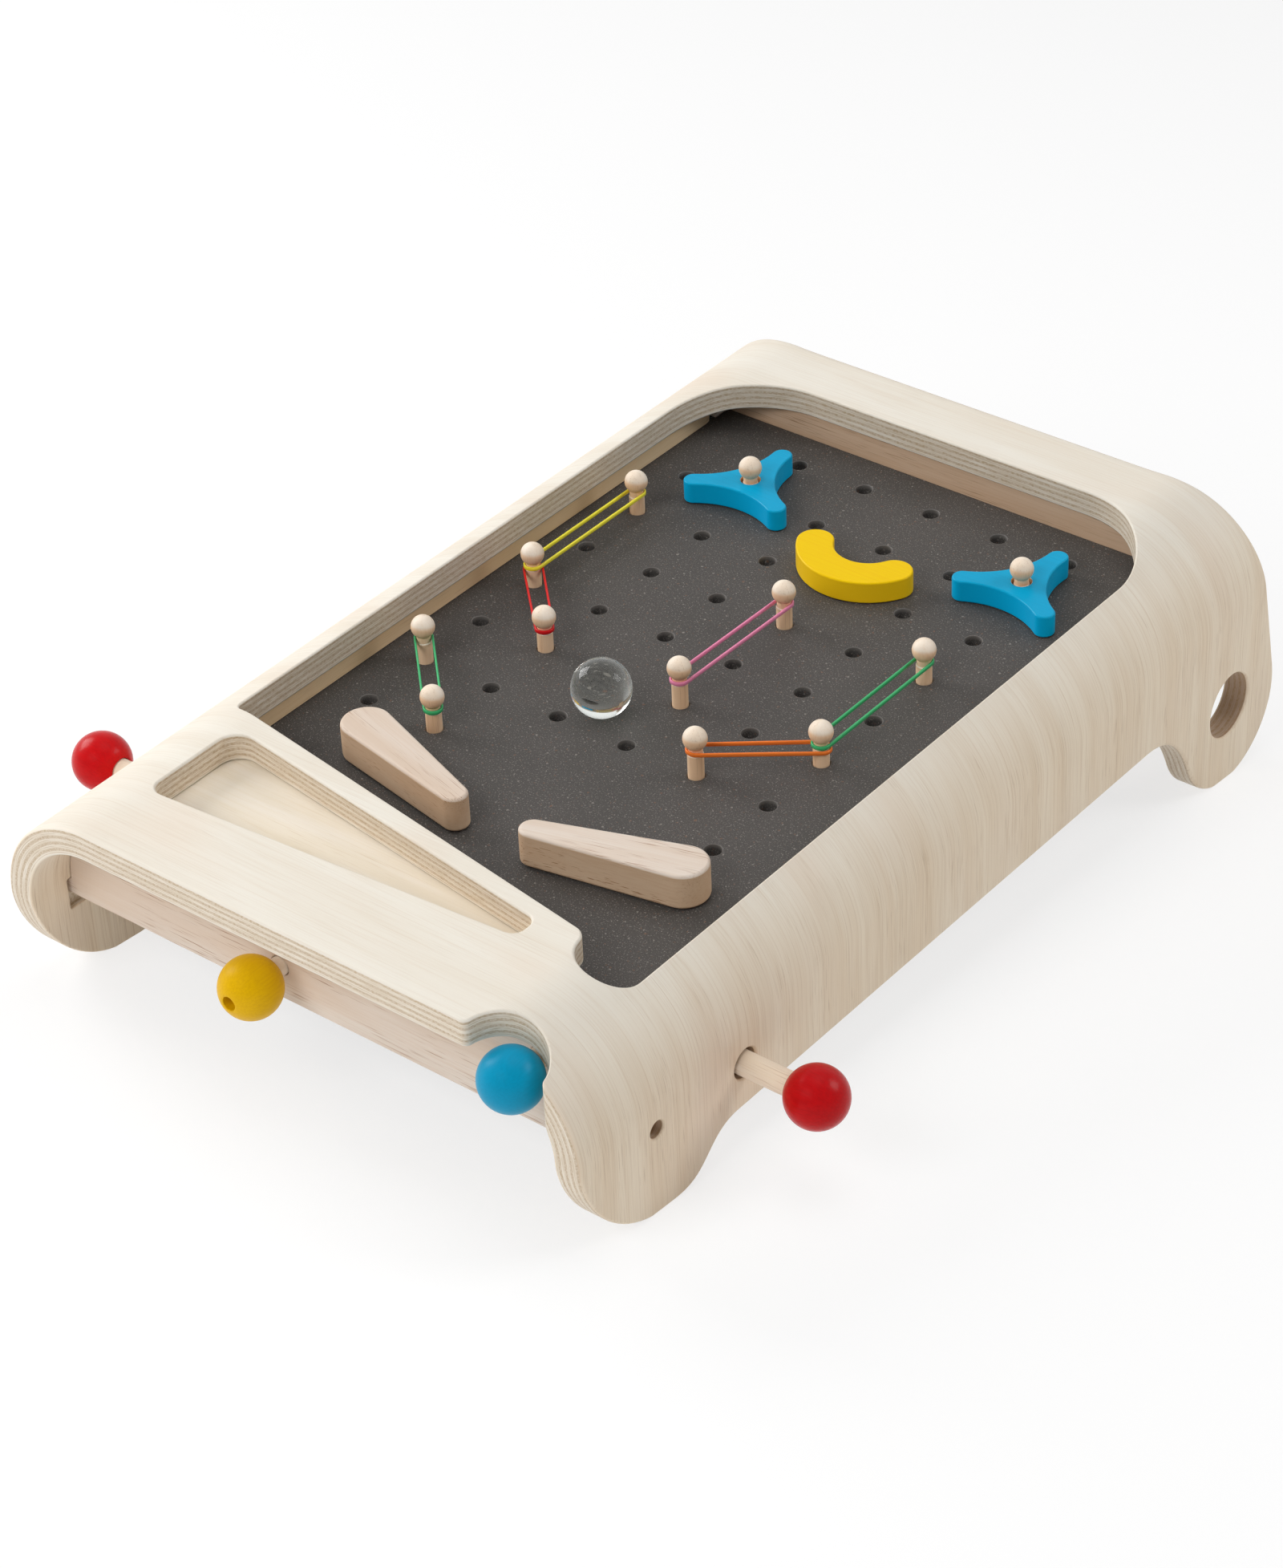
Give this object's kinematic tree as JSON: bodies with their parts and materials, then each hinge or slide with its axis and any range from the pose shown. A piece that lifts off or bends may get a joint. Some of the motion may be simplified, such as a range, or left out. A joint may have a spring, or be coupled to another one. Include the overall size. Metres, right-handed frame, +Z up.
{
  "type": "tabletop pinball game",
  "caption": "Wooden tabletop pinball game: bent plywood shell over a peg board, flippers worked by side push rods, a plunger, spinners, pegs with rubber bands and a marble.",
  "frame": {"origin": "centre of the bounding box in plan, at the table under the feet", "axes": "+X to the player's right, +Y to the back of the toy, +Z up; the board rises towards +Y"},
  "size_m": [0.3904, 0.4876, 0.1323],
  "materials": {
    "veneer": "clear satin lacquer on pale veneer",
    "tray_veneer": "clear satin lacquer",
    "rubberwood": "clear satin lacquer",
    "pale_wood": "bare and smooth",
    "board_grey": "dark through-dyed fibreboard, matt",
    "blue_paint": "satin water-based paint on wood",
    "yellow_paint": "satin water-based paint on wood",
    "amber_paint": "satin water-based paint on wood",
    "red_paint": "gloss water-based paint on wood",
    "peg_wood": "bare and smooth",
    "yellow_rubber": "matt",
    "red_rubber": "matt",
    "green_rubber": "matt",
    "pink_rubber": "matt",
    "orange_rubber": "matt",
    "clear_glass": "clear, polished"
  },
  "bodies": {
    "cabinet": {"plywood_shell": "veneer", "tray_floor": "tray_veneer", "front_rail": "rubberwood", "back_rail": "rubberwood", "play_board": "board_grey", "left_lining": "pale_wood", "left_corner_block": "rubberwood", "board_cleat_left": "pale_wood", "board_cleat_right": "pale_wood", "rod_guide_left": "rubberwood", "rod_guide_right": "rubberwood"},
    "left_push_rod": {"push_rod_left": "pale_wood", "rod_collar_left": "pale_wood", "push_knob_left": "red_paint"},
    "right_push_rod": {"push_rod_right": "pale_wood", "rod_collar_right": "pale_wood", "push_knob_right": "red_paint"},
    "left_flipper": {"flipper_left": "rubberwood", "flipper_pivot_left": "pale_wood", "flipper_crank_left": "rubberwood"},
    "right_flipper": {"flipper_right": "rubberwood", "flipper_pivot_right": "pale_wood", "flipper_crank_right": "rubberwood"},
    "plunger": {"plunger_rod": "pale_wood", "plunger_head": "pale_wood", "plunger_knob": "blue_paint"},
    "front_pull": {"pull_rod": "pale_wood", "pull_collar": "pale_wood", "pull_knob": "amber_paint"},
    "back_left_pegs": {"peg_c1_r3": "peg_wood", "peg_c1_r5": "peg_wood", "peg_c2_r6": "peg_wood", "band_yellow": "yellow_rubber", "band_red": "red_rubber"},
    "front_left_pegs": {"peg_c1_r7": "peg_wood", "peg_c2_r8": "peg_wood", "band_green_left": "green_rubber"},
    "middle_pegs": {"peg_c4_r4": "peg_wood", "peg_c4_r6": "peg_wood", "band_pink": "pink_rubber"},
    "right_pegs": {"peg_c6_r4": "peg_wood", "peg_c6_r6": "peg_wood", "peg_c5_r7": "peg_wood", "band_green_right": "green_rubber", "band_orange": "orange_rubber"},
    "left_spinner_peg": {"peg_c2_r2": "peg_wood"},
    "left_spinner": {"spinner_left": "blue_paint"},
    "right_spinner_peg": {"peg_c6_r2": "peg_wood"},
    "right_spinner": {"spinner_right": "blue_paint"},
    "arc": {"arc_block": "yellow_paint", "arc_pin": "pale_wood"},
    "marble": {"marble": "clear_glass"}
  },
  "joints": [
    {"name": "left_rod_push", "type": "slide", "parent": "cabinet", "child": "left_push_rod", "axis": [1, 0, 0], "range_m": [0, 0.01693], "stiffness_N_per_m": 60, "springref_m": -0.02},
    {"name": "right_rod_push", "type": "slide", "parent": "cabinet", "child": "right_push_rod", "axis": [-1, 0, 0], "range_m": [0, 0.01693], "stiffness_N_per_m": 60, "springref_m": -0.02},
    {"name": "left_flipper_turn", "type": "hinge", "parent": "cabinet", "child": "left_flipper", "pos_m": [-0.05975, -0.10949, 0.08609], "axis": [0, -0.0941, 0.9956], "range_deg": [0, 30.1]},
    {"name": "right_flipper_turn", "type": "hinge", "parent": "cabinet", "child": "right_flipper", "pos_m": [0.09795, -0.10949, 0.08609], "axis": [0, 0.0941, -0.9956], "range_deg": [0, 30.1]},
    {"name": "plunger_pull", "type": "slide", "parent": "cabinet", "child": "plunger", "axis": [0, -0.9956, -0.0941], "range_m": [0, 0.012], "stiffness_N_per_m": 150, "springref_m": -0.015},
    {"name": "front_pull_slide", "type": "slide", "parent": "cabinet", "child": "front_pull", "axis": [0, -0.9956, -0.0941], "range_m": [0, 0.025]},
    {"name": "back_left_pegs_lift", "type": "slide", "parent": "cabinet", "child": "back_left_pegs", "axis": [0, -0.0941, 0.9956], "range_m": [0, 0.015]},
    {"name": "front_left_pegs_lift", "type": "slide", "parent": "cabinet", "child": "front_left_pegs", "axis": [0, -0.0941, 0.9956], "range_m": [0, 0.015]},
    {"name": "middle_pegs_lift", "type": "slide", "parent": "cabinet", "child": "middle_pegs", "axis": [0, -0.0941, 0.9956], "range_m": [0, 0.015]},
    {"name": "right_pegs_lift", "type": "slide", "parent": "cabinet", "child": "right_pegs", "axis": [0, -0.0941, 0.9956], "range_m": [0, 0.015]},
    {"name": "left_spinner_peg_lift", "type": "slide", "parent": "cabinet", "child": "left_spinner_peg", "axis": [0, -0.0941, 0.9956], "range_m": [0, 0.015]},
    {"name": "right_spinner_peg_lift", "type": "slide", "parent": "cabinet", "child": "right_spinner_peg", "axis": [0, -0.0941, 0.9956], "range_m": [0, 0.015]},
    {"name": "arc_lift", "type": "slide", "parent": "cabinet", "child": "arc", "axis": [0, -0.0941, 0.9956], "range_m": [0, 0.015]},
    {"name": "left_spinner_turn", "type": "hinge", "parent": "left_spinner_peg", "child": "left_spinner", "pos_m": [-0.0502, 0.12831, 0.10586], "axis": [0, -0.0941, 0.9956], "continuous": true},
    {"name": "right_spinner_turn", "type": "hinge", "parent": "right_spinner_peg", "child": "right_spinner", "pos_m": [0.0898, 0.12831, 0.10586], "axis": [0, -0.0941, 0.9956], "continuous": true},
    {"name": "marble_lift", "type": "slide", "parent": "cabinet", "child": "marble", "axis": [0, -0.0941, 0.9956], "range_m": [0, 0.05]}
  ],
  "couplings": [
    {"joint": "left_flipper_turn", "follows": "left_rod_push", "rad_per_m": 30.933},
    {"joint": "right_flipper_turn", "follows": "right_rod_push", "rad_per_m": 30.933}
  ]
}
